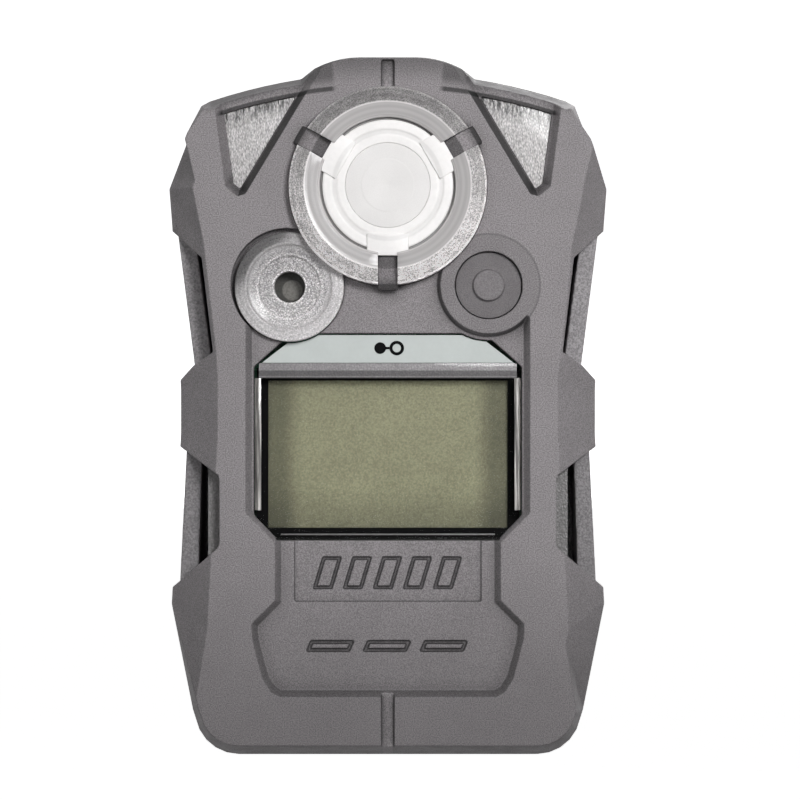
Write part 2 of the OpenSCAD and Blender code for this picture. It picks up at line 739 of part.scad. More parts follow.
module board_chips() {
    color([0.1, 0.1, 0.11]) {
        translate([-5, board_back_y, 40]) cube([10, 1.2, 10]);
        translate([8, board_back_y, 42]) cube([5, 1, 6]);
        translate([-13, board_back_y, 43]) cube([4, 1.1, 5]);
        translate([6, board_back_y, 58]) cube([6, 1.4, 4]);
        for (i = [0:5]) translate([-12 + 2.2 * i, board_back_y, 54]) cube([1, 0.6, 1.8]);
        for (i = [0:4]) translate([9 + 1.6 * i, board_back_y, 34]) cube([0.8, 0.5, 1.6]);
    }
}
module battery_holder() {
    color([0.16, 0.16, 0.17]) difference() {
        translate([-16.5, -15.4, 9.2]) cube([33, 8.6, 17.2]);
        translate(battery_at) rotate([0, 90, 0])
            cylinder(battery_l + 2, battery_r + fit_gap, battery_r + fit_gap, center = true);
        translate([-8, -16, 9]) cube([16, 12, 2]);
    }
}
module battery_cell() {
    color([0.2, 0.42, 0.62]) translate(battery_at) rotate([0, 90, 0]) union() {
        cylinder(battery_l - 1, battery_r, battery_r, center = true);
        cylinder(battery_l, 3.2, 3.2, center = true);
    }
}
module battery_contacts() {
    out = battery_l / 2;
    color([0.8, 0.8, 0.75]) both_sides() translate([0, battery_at[1], battery_at[2]]) union() {
        translate([14.1, -5, -4]) cube([0.4, 7.5, 8]);
        translate([out, 0, 0]) rotate([0, 90, 0]) cylinder(14.1 - out + eps, 1.4, 2.2);
    }
}

module pivot_hole(r) {
    translate([-clip_w, pivot_y, pivot_z]) rotate([0, 90, 0]) cylinder(2 * clip_w, r, r);
}
// Teeth across the tip, cut as a row of notches
module tip_notches(y, z) {
    for (i = [-teeth_each_side:teeth_each_side])
        translate([(2 * i - 0.5) * tooth_w, y, z]) cube([tooth_w, 3, 1.1]);
}
module clip_base() {
    color([0.74, 0.74, 0.75]) difference() {
        union() {
            side_slab(-clip_w / 2, clip_w / 2) outline(band(base_path, clip_t));
            both_sides() side_slab(ear_x, clip_w / 2) outline(ear_profile);
        }
        pivot_hole(pin_r + 0.02);
        rod(0, clip_screw_z, back_y - 1, back_y + 3, 1.5, 1.5);
        translate([-stop_w / 2 - stop_gap, back_y - 1, stop_z - stop_gap])
            cube([stop_w + 2 * stop_gap, 3, stop_h + 2 * stop_gap]);
        tip_notches(back_y + 0.4, 20);
        both_sides() translate([5.5, back_y - 1, 61.5]) rotate([0, 45, 0]) cube([6, 4, 6]);
    }
}
module clip_jaw() {
    color([0.74, 0.74, 0.75]) difference() {
        union() {
            side_slab(-jaw_w / 2, jaw_w / 2) outline(band(jaw_path, clip_t));
            both_sides() side_slab(jaw_w / 2 - clip_t, jaw_w / 2) outline(jaw_ear);
        }
        pivot_hole(pin_r + 0.05);
        rod(0, clip_screw_z, back_y + 6, back_y + 25, jaw_hole_r, jaw_hole_r);
        tip_notches(back_y + 2, 20);
    }
}
module clip_pin() {
    color([0.6, 0.6, 0.62]) translate([0, pivot_y, pivot_z]) rotate([0, 90, 0]) union() {
        cylinder(clip_w, pin_r, pin_r, center = true);
        translate([0, 0, clip_w / 2]) cylinder(pin_head_t, pin_head_r, pin_head_r - 0.4);
        translate([0, 0, -clip_w / 2 - pin_head_t]) cylinder(pin_head_t, pin_head_r - 0.4, pin_head_r);
    }
}
// Torsion spring: one leg lies on the base plate and the other pushes the jaw's arm out
module clip_spring() { color([0.5, 0.5, 0.52]) wire(spring_path, spring_wire, 8); }
module clip_screw() {
    y = back_y + clip_t;
    color([0.62, 0.62, 0.64]) difference() {
        union() {
            rod(0, clip_screw_z, -1.6, y + eps, 1.38, 1.38);
            rod(0, clip_screw_z, y, y + 1.3, 2.7, 2.1);
        }
        translate([-0.3, y + 0.7, clip_screw_z - 1.6]) cube([0.6, 2, 3.2]);
        translate([-1.6, y + 0.7, clip_screw_z - 0.3]) cube([3.2, 2, 0.6]);
    }
}

front_overmould();
front_shell();
rear_shell();
rear_overmould();
housing_seal();
housing_screws();
rear_label();
inlet_ring();
inlet_retainer();
inlet_filter();
cell_gasket();
sensor_cell();
sensor_pins();
sensor_socket();
label_strip();
display_mark();
lcd_frame();
lcd_glass();
lcd_connector();
horn_screen();
piezo_horn();
test_button();
button_switch();
button_plunger();
alarm_leds();
motor_can();
motor_weight();
motor_clip();
main_board();
board_screws();
board_chips();
battery_holder();
battery_cell();
battery_contacts();
clip_base();
clip_jaw();
clip_pin();
clip_spring();
clip_screw();
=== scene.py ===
"""The looks of a portable gas detector with a clip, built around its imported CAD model.

X is the width, Z is up and the front faces -Y. Lengths are in millimetres up to the calls
that make meshes, which turn them into metres. The lamps, the floor and the flag are placed in
metres.
"""

import math

import bmesh
import bpy
from mathutils import Matrix, Vector


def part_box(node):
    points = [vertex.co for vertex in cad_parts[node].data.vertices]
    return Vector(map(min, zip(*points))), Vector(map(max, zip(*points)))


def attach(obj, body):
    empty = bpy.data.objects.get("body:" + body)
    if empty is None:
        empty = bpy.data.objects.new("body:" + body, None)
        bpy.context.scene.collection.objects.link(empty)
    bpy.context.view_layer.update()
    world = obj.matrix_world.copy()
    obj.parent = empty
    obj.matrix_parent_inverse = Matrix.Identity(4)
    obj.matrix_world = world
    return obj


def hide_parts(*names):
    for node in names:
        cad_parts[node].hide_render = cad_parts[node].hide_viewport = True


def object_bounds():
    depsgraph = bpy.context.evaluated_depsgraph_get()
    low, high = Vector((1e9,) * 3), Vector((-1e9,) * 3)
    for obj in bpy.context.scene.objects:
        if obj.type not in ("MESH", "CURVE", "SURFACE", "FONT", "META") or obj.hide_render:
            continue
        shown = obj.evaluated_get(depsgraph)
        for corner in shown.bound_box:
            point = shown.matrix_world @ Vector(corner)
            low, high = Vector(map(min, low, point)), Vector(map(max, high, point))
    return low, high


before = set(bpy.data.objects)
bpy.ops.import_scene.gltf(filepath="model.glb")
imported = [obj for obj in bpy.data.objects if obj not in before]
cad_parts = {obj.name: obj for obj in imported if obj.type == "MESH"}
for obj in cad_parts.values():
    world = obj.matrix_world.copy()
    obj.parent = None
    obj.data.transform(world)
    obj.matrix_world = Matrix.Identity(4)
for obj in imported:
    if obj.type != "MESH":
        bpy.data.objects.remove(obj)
cad_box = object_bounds()
MM = 0.001


def mm_box(node):
    """A CAD node's lowest and highest corners in millimetres."""
    low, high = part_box(node)
    return low / MM, high / MM


def middle(node):
    """The middle of a CAD node's box in millimetres."""
    low, high = mm_box(node)
    return (low + high) / 2


# ---------------------------------------------------------------- places, from the frame
RING_LOW, RING_HIGH = mm_box("inlet_ring")
INLET = middle("inlet_ring")
RING_R = (RING_HIGH.x - RING_LOW.x) / 2
RING_FRONT = RING_LOW.y
SHELL_FRONT = RING_HIGH.y
DISC_FRONT = mm_box("inlet_retainer")[0].y
HORN = middle("piezo_horn")
BUTTON = middle("test_button")
JACKET_FRONT = mm_box("front_shell")[0].y
PANE_BACK = mm_box("lcd_frame")[0].y
PANE_FRONT = mm_box("label_strip")[1].y
LABEL_LOW = mm_box("label_strip")[0]
PIVOT = middle("clip_pin")
BACK = mm_box("rear_shell")[1].y
TOP = cad_box[1][2] / MM

# ---------------------------------------------------------------- sizes of the moulded details
# jacket and side rails
# heights over which the jacket's painted shade towards its foot eases out
FOOT_SHADE_LOW = 2
FOOT_SHADE_HIGH = 34
# heights over which the side rails' painted shade eases out
RAIL_LOW = 38
RAIL_HIGH = 46
# gas inlet
CREST_R = 10.2
BORE_R = 8.28
DISC_R = 8.0
GROOVE_R = 6.55
FILTER_R = 6.3
MEMBRANE_R = 5.2
DIMPLE_R = 3.3
LAND_R = 8.6
LAND_W = 5.1
RIB_W = 2.4
RIB_ANGLES = (30, 150, 270)
# sounder and button
HORN_R = 6.71
HORN_LIP_R = 5.3
HORN_STEP_R = 3.9
PORT_R = 1.9
SCREEN_R = 1.25
NUB_R = 2.05
SURROUND_R = 6.3
# alarm windows and the shoulders of the jacket round them
WINDOWS_FROM_Z = 68
WINDOW_END_X = 21.2
WINDOW_ARC_R = 67.45
SHOULDER = Vector((0, 0, 15.1))
SHOULDER_R = 70
SHOULDER_X = 23
HEAD_X = 7
# front recess
RECESS_X = 18.4
RECESS_LOW = 6
RECESS_HIGH = 65
CHANNEL_FROM_MIDDLE = 35
MIDDLE_Z = 43.5
# display and its pane
LCD_VIEW_X = 14.8
LCD_VIEW_LOW = 28.4
PANE_X = 16.9
PANE_LOW = 26.7
PANE_HIGH = 52.8
PANE_EDGE_X = 16.0
PANE_EDGE_LOW = 30.6
LEDGE_X = 15.9
LEDGE_HIGH = 1.9
SILL_X = 13.2
SILL_LOW = 27.55
SILL_HIGH = 27.72
# clip spring
SPRING_R = 2.5
SPRING_HALF_W = 2.6
SPRING_WIRE_R = 0.45
SPRING_TURNS = 4
FIXED_LEG_Z = (55.6, 51)
MOVING_LEG_Z = (52, 58)


# ---------------------------------------------------------------- materials
def srgb(red, green, blue):
    """A colour given as it looks, 0 to 255, turned into the linear values that shaders take."""
    def linear(level):
        level /= 255
        return level / 12.92 if level <= 0.04045 else ((level + 0.055) / 1.055) ** 2.4
    return (linear(red), linear(green), linear(blue), 1)


class Paint:
    """Builds one procedural material. Lengths are in millimetres in the part's own frame."""

    def __init__(self, name):
        self.material = bpy.data.materials.new(name)
        self.material.use_nodes = True
        self.tree = self.material.node_tree
        self.shader = self.tree.nodes["Principled BSDF"]
        self.place = self.vector("SCALE", self.add("ShaderNodeTexCoord").outputs["Object"], 1 / MM)

    def add(self, kind, **settings):
        node = self.tree.nodes.new(kind)
        for key, value in settings.items():
            setattr(node, key, value)
        return node

    def feed(self, socket, value):
        if isinstance(value, bpy.types.NodeSocket):
            self.tree.links.new(value, socket)
        else:
            socket.default_value = value

    def vector(self, operation, a, b):
        node = self.add("ShaderNodeVectorMath", operation=operation)
        self.feed(node.inputs[0], a)
        self.feed(node.inputs["Scale"] if operation == "SCALE" else node.inputs[1], b)
        return node.outputs["Value"] if operation in ("LENGTH", "DOT_PRODUCT") else node.outputs[0]

    def maths(self, operation, a, b=0.0, clamp=False):
        node = self.add("ShaderNodeMath", operation=operation, use_clamp=clamp)
        self.feed(node.inputs[0], a)
        self.feed(node.inputs[1], b)
        return node.outputs[0]

    def span(self, value, low, high, at_low=0.0, at_high=1.0):
        """Eases from at_low to at_high as value goes from low to high."""
        node = self.add("ShaderNodeMapRange", interpolation_type="SMOOTHSTEP")
        for socket, number in zip(node.inputs, (value, low, high, at_low, at_high)):
            self.feed(socket, number)
        return node.outputs[0]

    def near(self, value, centre, low, high, amount, away=1.0):
        """amount where value is within low of centre, easing to away where it is past high."""
        gap = self.maths("ABSOLUTE", self.maths("SUBTRACT", value, centre))
        return self.span(gap, low, high, amount, away)

    def product(self, *parts):
        """All the parts multiplied together."""
        total = parts[0]
        for part in parts[1:]:
            total = self.maths("MULTIPLY", total, part)
        return total

    def lathe_rings(self, reach, rate):
        """Faint rings, as on a turned face."""
        return self.span(self.maths("SINE", self.maths("MULTIPLY", reach, rate)), -1.0, 1.0, 0.93, 1.07)

    def blend(self, share, a, b):
        node = self.add("ShaderNodeMix", data_type="RGBA")
        self.feed(node.inputs[0], share)
        self.feed(node.inputs[6], a)
        self.feed(node.inputs[7], b)
        return node.outputs[2]

    def noise(self, size, detail=2.0, stretch=(1, 1, 1)):
        """Noise with features about size across, longer where stretch is above 1."""
        node = self.add("ShaderNodeTexNoise")
        scaled = self.vector("MULTIPLY", self.place, tuple(1 / s for s in stretch))
        self.feed(node.inputs["Vector"], scaled)
        self.feed(node.inputs["Scale"], 1 / size)
        self.feed(node.inputs["Detail"], detail)
        return node.outputs["Fac"]

    def cells(self, size, stretch=(1, 1, 1)):
        """Small cells like a blasted or crystal surface."""
        node = self.add("ShaderNodeTexVoronoi", feature="F1")
        scaled = self.vector("MULTIPLY", self.place, tuple(1 / s for s in stretch))
        self.feed(node.inputs["Vector"], scaled)
        self.feed(node.inputs["Scale"], 1 / size)
        return node.outputs["Distance"]

    def axis(self, name):
        node = self.add("ShaderNodeSeparateXYZ")
        self.feed(node.inputs[0], self.place)
        return node.outputs[name]

    def radius(self, centre):
        """Distance from an axis along Y through centre."""
        offset = self.vector("SUBTRACT", self.place, tuple(centre))
        flat = self.vector("MULTIPLY", offset, (1, 0, 1))
        return self.vector("LENGTH", flat, (0, 0, 0))

    def open_sky(self, reach, inside=False):
        """1 on open faces, and less where the same piece walls a place in within reach.
        With inside, 1 on broad faces, and less along outer edges."""
        node = self.add("ShaderNodeAmbientOcclusion", samples=6, only_local=True, inside=inside)
        self.feed(node.inputs["Distance"], reach * MM)
        return node.outputs["AO"]

    def worn(self, reach, extra):
        """1 on broad faces, rising by extra along outer edges."""
        return self.span(self.open_sky(reach, True), 0.25, 0.75, 1.0, 1 + extra)

    def shade(self, colour, amount):
        """A colour times a grey amount."""
        node = self.add("ShaderNodeMix", data_type="RGBA", blend_type="MULTIPLY")
        grey = self.add("ShaderNodeCombineColor")
        for socket in grey.inputs:
            self.feed(socket, amount)
        self.feed(node.inputs[0], 1.0)
        self.feed(node.inputs[6], colour)
        self.feed(node.inputs[7], grey.outputs[0])
        return node.outputs[2]

    def bump(self, height, depth, strength=1.0):
        node = self.add("ShaderNodeBump")
        self.feed(node.inputs["Strength"], strength)
        self.feed(node.inputs["Distance"], depth * MM)
        self.feed(node.inputs["Height"], height)
        self.feed(self.shader.inputs["Normal"], node.outputs[0])

    def finish(self, colour, roughness, **uniform):
        """Sets colour and roughness, and plain numbers on the shader's own sockets."""
        self.feed(self.shader.inputs["Base Color"], colour)
        self.feed(self.shader.inputs["Roughness"], roughness)
        for key, value in uniform.items():
            self.shader.inputs[key.replace("_", " ").title().replace("Ior", "IOR")].default_value = value
        return self.material

    def clear_to_lamps(self):
        """Lets lamp light through to what lies behind a clear piece."""
        out = self.tree.nodes["Material Output"]
        mixer = self.add("ShaderNodeMixShader")
        self.feed(mixer.inputs[0], self.add("ShaderNodeLightPath").outputs["Is Shadow Ray"])
        self.feed(mixer.inputs[1], self.shader.outputs[0])
        self.feed(mixer.inputs[2], self.add("ShaderNodeBsdfTransparent").outputs[0])
        self.feed(out.inputs["Surface"], mixer.outputs[0])
        return self.material


def moulded(name, colour, roughness, grain=0.28, depth=0.03, speckle=0.10, wear=0.25, shape=None,
            hollow_shade_reach=None, gloss=0.35):
    """Moulded plastic or rubber: fine grain, mottling, edges rubbed lighter, and painted shade in creases.
    shape, if given, takes the paint and returns a grey amount for local painted light and shade.
    Where a reach for the hollows is given, painted shade reaches that far out of the hollows."""
    p = Paint(name)
    fine = p.noise(grain, 3.0)
    broad = p.noise(6.0, 3.0)
    tone = p.span(fine, 0.3, 0.7, 1 - speckle, 1 + speckle)
    tone = p.maths("MULTIPLY", tone, p.span(broad, 0.25, 0.75, 0.96, 1.04))
    if wear:
        tone = p.maths("MULTIPLY", tone, p.worn(0.5, wear))
    if shape is not None:
        tone = p.maths("MULTIPLY", tone, shape(p))
    # painted shade in creases and hollows, from an occlusion test
    if hollow_shade_reach is not None:
        tone = p.maths("MULTIPLY", tone, p.span(p.open_sky(hollow_shade_reach), 0.62, 0.95, 0.22, 1.0))
    rough = p.span(p.noise(1.6, 4.0), 0.3, 0.7, roughness - 0.06, roughness + 0.06)
    p.bump(p.maths("ADD", fine, p.maths("MULTIPLY", broad, 0.3)), depth)
    return p.finish(p.shade(srgb(*colour), tone), rough, specular_ior_level=gloss)


def frosted(name, colour, roughness, sparkle=0.35, grain=0.2, depth=0.05, shape=None,
            stretch=(1, 1, 1), smooth=None):
    """Clear plastic with a blasted face: bright and dark sparkle over a milky body, the face's own mottle
    with painted glints in it.
    smooth, if given, takes the paint and returns 1 where the face is polished instead."""
    p = Paint(name)
    glitter = p.cells(grain, stretch)
    fine = p.noise(grain * 0.8, 3.0, stretch)
    tone = p.span(glitter, 0.15, 0.75, 1 + sparkle, 1 - sparkle)
    tone = p.maths("MULTIPLY", tone, p.span(fine, 0.3, 0.7, 1 - sparkle * 0.7, 1 + sparkle * 0.7))
    if smooth is not None:
        polished = smooth(p)
        glitter = p.maths("MULTIPLY", glitter, p.maths("SUBTRACT", 1.0, polished))
        even = p.maths("MULTIPLY", p.maths("SUBTRACT", 1.0, tone), polished)
        tone = p.maths("ADD", tone, p.maths("MULTIPLY", even, 0.55))
    tone = p.maths("MULTIPLY", tone, p.span(p.noise(4.0), 0.3, 0.7, 0.94, 1.06))
    if shape is not None:
        tone = p.maths("MULTIPLY", tone, shape(p))
    rough = p.span(fine, 0.3, 0.7, roughness - 0.1, roughness + 0.1)
    p.bump(p.maths("ADD", glitter, fine), depth)
    return p.finish(p.shade(srgb(*colour), tone), rough, transmission_weight=0.15, ior=1.5,
                    coat_weight=0.25, coat_roughness=0.12)


def metal(name, colour, roughness, brush=(1, 1, 12)):
    """Metal with fine marks drawn out along one direction, and edges polished brighter."""
    p = Paint(name)
    marks = p.noise(0.05, 3.0, brush)
    tone = p.span(marks, 0.3, 0.7, 0.86, 1.1)
    tone = p.maths("MULTIPLY", tone, p.span(p.noise(5.0, 4.0), 0.3, 0.7, 0.93, 1.05))
    tone = p.maths("MULTIPLY", tone, p.worn(0.3, 0.15))
    rough = p.span(p.noise(0.9, 4.0, brush), 0.3, 0.7, roughness - 0.08, roughness + 0.08)
    p.bump(marks, 0.004)
    return p.finish(p.shade(srgb(*colour), tone), rough, metallic=1.0)


def clear_glass(name):
    """Clear polished plastic, with faint flow marks and hairline scratches."""
    p = Paint(name)
    flow = p.noise(7.0, 2.0)
    scratch = p.noise(0.12, 2.0, (14, 1, 1))
    p.bump(p.maths("ADD", flow, p.maths("MULTIPLY", scratch, 0.02)), 0.006, 0.1)
    tone = p.span(flow, 0.3, 0.7, 0.965, 1.0)
    rough = p.span(scratch, 0.35, 0.75, 0.02, 0.07)
    p.finish(p.shade(srgb(250, 252, 250), tone), rough, transmission_weight=1.0, ior=1.49)
    return p.clear_to_lamps()


def rail_shade(p):
    """The lower side rails are darker than the upper ones: painted shade."""
    return p.span(p.axis("Z"), RAIL_LOW, RAIL_HIGH, 0.66, 1.0)


def foot_painted_shade(p):
    """The jacket is a little darker towards its foot: painted shade."""
    return p.span(p.axis("Z"), FOOT_SHADE_LOW, FOOT_SHADE_HIGH, 0.62, 1.0)


def facing(p):
    """The surface's direction in the part's own frame, as separate X, Y and Z."""
    normal = p.add("ShaderNodeSeparateXYZ")
    p.feed(normal.inputs[0], p.add("ShaderNodeTexCoord").outputs["Normal"])
    return normal.outputs


def recess_shade(p):
    """Painted shade lies on the walls of the front recess and in the grooves."""
    height = p.axis("Z")
    steep = p.product(p.span(facing(p)["Y"], -0.93, -0.7, 0.0, 0.36),
                      p.span(p.maths("ABSOLUTE", p.axis("X")), RECESS_X - 0.2, RECESS_X + 0.2, 1.0, 0.0),
                      p.span(height, RECESS_LOW, RECESS_LOW + 1),
                      p.span(height, RECESS_HIGH - 1, RECESS_HIGH, 1.0, 0.0))
    return p.maths("SUBTRACT", 1.0, steep)


def shoulder_shade(p):
    """The pockets' walls, the shoulder above each alarm window and the rounded top are darker with painted
    shade, and the joint above each window is a dark seam.
    """
    normal = facing(p)
    side = p.axis("X")
    height = p.axis("Z")
    arc = p.radius(SHOULDER)
    out = p.maths("ABSOLUTE", side)
    beside = p.product(p.span(out, HEAD_X - 0.8, HEAD_X), p.span(out, SHOULDER_X - 1, SHOULDER_X, 1.0, 0.0),
                       p.span(height, WINDOWS_FROM_Z - 0.4, WINDOWS_FROM_Z + 0.2))
    steep = p.product(p.span(normal["Y"], -0.8, -0.6),
                      p.span(arc, WINDOW_ARC_R + 0.15, WINDOW_ARC_R + 0.45, 1.0, 0.0),
                      p.span(p.maths("MULTIPLY", normal["X"], side), -3, 3, 0.2, 0.8))
    joint = p.maths("MULTIPLY", p.near(arc, WINDOW_ARC_R + 0.22, 0.16, 0.4, 0.78, 0.0),
                    p.span(out, WINDOW_END_X, WINDOW_END_X - 0.8))
    rim = p.span(arc, WINDOW_ARC_R + 0.2, SHOULDER_R - 0.6, 0.0, 0.6)
    dark = p.maths("ADD", steep, p.maths("ADD", joint, rim), clamp=True)
    top = p.span(height, TOP - 4.4, TOP - 0.8, 0.0, 0.48)
    return p.maths("SUBTRACT", 1.0, p.maths("MAXIMUM", p.maths("MULTIPLY", dark, beside), top), clamp=True)


def jacket_shade(p):
    """The fingers over the inlet ring, the button's surround and the foot are darker with painted shade, and
    a painted shadow line rings the button's step; painted light makes the channels above and below the recess
    lighter."""
    reach = p.radius(INLET)
    depth = p.axis("Y")
    # painted shade on the fingers over the inlet ring, where they sit in the ring's slots
    face = p.maths("MULTIPLY", p.span(reach, CREST_R - 0.1, CREST_R + 0.15, 1.0, 0.0),
                   p.span(depth, RING_FRONT + 1.6, RING_FRONT + 1.9, 1.0, 0.0))
    foot = p.product(p.span(reach, RING_R - 1.1, RING_R + 0.1),
                     p.span(reach, RING_R + 0.6, RING_R + 0.7, 1.0, 0.0),
                     p.span(depth, JACKET_FRONT - 0.35, JACKET_FRONT - 0.1, 1.0, 0.0))
    dark = p.maths("ADD", p.maths("MULTIPLY", face, 0.6), p.maths("MULTIPLY", foot, 0.45))
    # painted shade in the button's surround, with a painted shadow line at its step
    from_button = p.radius(BUTTON)
    surround = p.maths("MULTIPLY", p.span(from_button, SURROUND_R - 0.2, SURROUND_R + 0.2, 0.82, 1.0),
                       p.near(from_button, SURROUND_R, 0.05, 0.18, 0.68))
    # painted light lifting the channels above and below the recess
    channel = p.product(p.span(p.maths("ABSOLUTE", p.axis("X")), 0.5, 0.75, 0.4, 0.0),
                        p.span(depth, JACKET_FRONT + 0.3, JACKET_FRONT + 0.5),
                        p.near(p.axis("Z"), MIDDLE_Z, CHANNEL_FROM_MIDDLE, CHANNEL_FROM_MIDDLE + 0.4, 0.0))
    return p.product(p.maths("SUBTRACT", 1.0, dark, clamp=True), foot_painted_shade(p), surround,
                     p.maths("ADD", 1.0, channel), shoulder_shade(p), recess_shade(p))


def key_shade(p):
    """The button's web is darker than its nub."""
    return p.span(p.radius(BUTTON), NUB_R - 0.05, NUB_R + 0.15, 0.64, 0.53)


def ring_material():
    """The ring round the inlet: a blasted bevel with painted glints, painted light low and painted shade high
    on it, painted highlights on crest, lip and bore, and a smooth face.
    """
    p = Paint("ring_clear")
    reach = p.radius(INLET)
    on_bevel = p.span(reach, CREST_R - 0.05, CREST_R + 0.2, 0.0, 1.0)
    glitter = p.maths("MULTIPLY", p.cells(0.2), on_bevel)
    fine = p.noise(0.17, 3.0)
    spark = p.span(fine, 0.32, 0.68, 0.62, 1.85)
    spark = p.maths("MULTIPLY", spark, p.span(p.noise(1.5, 3.0), 0.3, 0.7, 0.8, 1.2))
    spark = p.maths("ADD", p.maths("MULTIPLY", spark, on_bevel), p.maths("SUBTRACT", 1.0, on_bevel))
    height = p.maths("SUBTRACT", p.axis("Z"), INLET.z)
    # painted light low on the bevel and painted shade high on it
    around = p.span(height, -RING_R, RING_R, 1.6, 0.45)
    around = p.maths("ADD", p.maths("MULTIPLY", p.maths("SUBTRACT", around, 1.0), on_bevel), 1.0)
    # painted highlights on the crest, the outer lip and the bore's edge
    tone = p.product(spark, p.lathe_rings(reach, 9.0), p.near(reach, CREST_R, 0.05, 0.14, 1.7),
                     p.near(reach, RING_R - 0.12, 0.05, 0.2, 1.5),
                     p.near(reach, BORE_R + 0.12, 0.04, 0.14, 1.4), around)
    rough = p.maths("ADD", p.maths("MULTIPLY", on_bevel, 0.12), p.span(fine, 0.3, 0.7, 0.28, 0.42))
    p.bump(p.maths("ADD", glitter, p.maths("MULTIPLY", fine, 0.3)), 0.05)
    return p.finish(p.shade(srgb(180, 177, 177), tone), rough, transmission_weight=0.1, ior=1.5,
                    coat_weight=0.15, coat_roughness=0.2)


def horn_shade(p):
    """Rings on the sounder boss: painted highlights at the port and the step, painted light to the lower
    right, and painted shade on the lip's upper left.
    """
    reach = p.radius(HORN)
    low_right = p.vector("DOT_PRODUCT", p.vector("SUBTRACT", p.place, tuple(HORN)), (0.11, 0, -0.11))
    crescent = p.maths("MULTIPLY", p.span(reach, HORN_LIP_R, HORN_LIP_R + 0.35),
                       p.span(low_right, -0.9, -0.45, 0.8, 0.0))
    return p.product(p.near(reach, PORT_R + 0.15, 0.05, 0.2, 1.8),
                     p.near(reach, HORN_STEP_R, 0.05, 0.2, 1.75),
                     p.span(reach, HORN_LIP_R - 0.1, HORN_LIP_R + 0.3, 0.95, 1.05),
                     p.span(low_right, -1.0, 1.0, 0.78, 1.22), p.maths("SUBTRACT", 1.0, crescent),
                     p.lathe_rings(reach, 11.0))


def horn_smooth(p):
    """Only the middle of the sounder boss is blasted, and its lip is polished."""
    return p.span(p.radius(HORN), HORN_STEP_R + 0.1, HORN_LIP_R, 0.0, 1.0)


def ledge_shade(p):
    """The sloping lower half of the ledge over the display is darkened with painted shade, with a painted
    highlight line under it.
    """
    height = p.axis("Z")
    slope = p.span(height, LABEL_LOW.z - 1.05, LABEL_LOW.z - 0.85, 0.36, 1.0)
    return p.maths("MULTIPLY", slope, p.near(height, LABEL_LOW.z - 1.7, 0.04, 0.1, 2.2))


def disc_shade(p):
    """Painted shade makes the gap round the white disc dark and its groove grey."""
    step = p.span(p.axis("Y"), DISC_FRONT + 0.25, DISC_FRONT + 0.35, 1.0, 0.32)
    return p.maths("MULTIPLY", step, p.near(p.radius(INLET), GROOVE_R, 0.15, 0.4, 0.88))


def window_shade(p):
    """The alarm windows are streaked and darker towards their upper edge."""
    edge = p.span(p.radius(SHOULDER), WINDOW_ARC_R - 2.6, WINDOW_ARC_R - 0.4)
    streak = p.span(p.noise(0.26, 2.0, (0.9, 1, 4)), 0.38, 0.62, 0.076, 0.85)
    return p.maths("ADD", p.maths("SUBTRACT", 1.0, edge), p.maths("MULTIPLY", edge, streak))


def lcd_material():
    """A reflective liquid-crystal display at rest: olive, grainy, darker at the sides and the
    foot, and near black outside its view."""
    p = Paint("lcd_olive")
    side = p.maths("ABSOLUTE", p.axis("X"))
    height = p.axis("Z")
    grain = p.noise(0.19, 3.0)
    tone = p.product(p.span(side, LCD_VIEW_X - 4.5, LCD_VIEW_X - 1.6, 1.0, 0.5),
                     p.span(height, LCD_VIEW_LOW, LCD_VIEW_LOW + 6, 0.66, 1.0),
                     p.span(height, LCD_VIEW_LOW - 0.6, LCD_VIEW_LOW - 0.3, 0.03, 1.0),
                     p.span(side, LCD_VIEW_X + 0.3, LCD_VIEW_X + 0.6, 1.0, 0.03),
                     p.span(grain, 0.3, 0.7, 0.78, 1.22), p.span(p.noise(5.0), 0.3, 0.7, 0.95, 1.05))
    p.bump(grain, 0.005)
    return p.finish(p.shade(srgb(117, 115, 93), tone), p.span(grain, 0.3, 0.7, 0.5, 0.62),
                    specular_ior_level=0.2)


def board_material():
    """Green solder mask over faint copper tracks."""
    p = Paint("green_board")
    tracks = p.add("ShaderNodeTexBrick")
    laid = p.add("ShaderNodeCombineXYZ")
    p.feed(laid.inputs[0], p.axis("X"))
    p.feed(laid.inputs[1], p.axis("Z"))
    p.feed(tracks.inputs["Vector"], laid.outputs[0])
    for key, value in (("Scale", 0.5), ("Mortar Size", 0.03), ("Brick Width", 1.7), ("Row Height", 0.6)):
        p.feed(tracks.inputs[key], value)
    copper = tracks.outputs["Fac"]
    fine = p.noise(0.4, 3.0)
    colour = p.blend(copper, srgb(22, 92, 62), srgb(58, 128, 80))
    p.bump(p.maths("ADD", p.maths("MULTIPLY", copper, 0.5), p.maths("MULTIPLY", fine, 0.1)), 0.03)
    return p.finish(p.shade(colour, p.span(fine, 0.3, 0.7, 0.9, 1.08)), p.span(fine, 0.3, 0.7, 0.3, 0.42))


def horn_hole_shade(p):
    """The screen deep in the port shows as a grey disc in a dark ring of painted shadow."""
    return p.span(p.radius(HORN + Vector((0.25, 0, -0.3))), SCREEN_R - 0.1, SCREEN_R + 0.1, 1.0, 0.3)


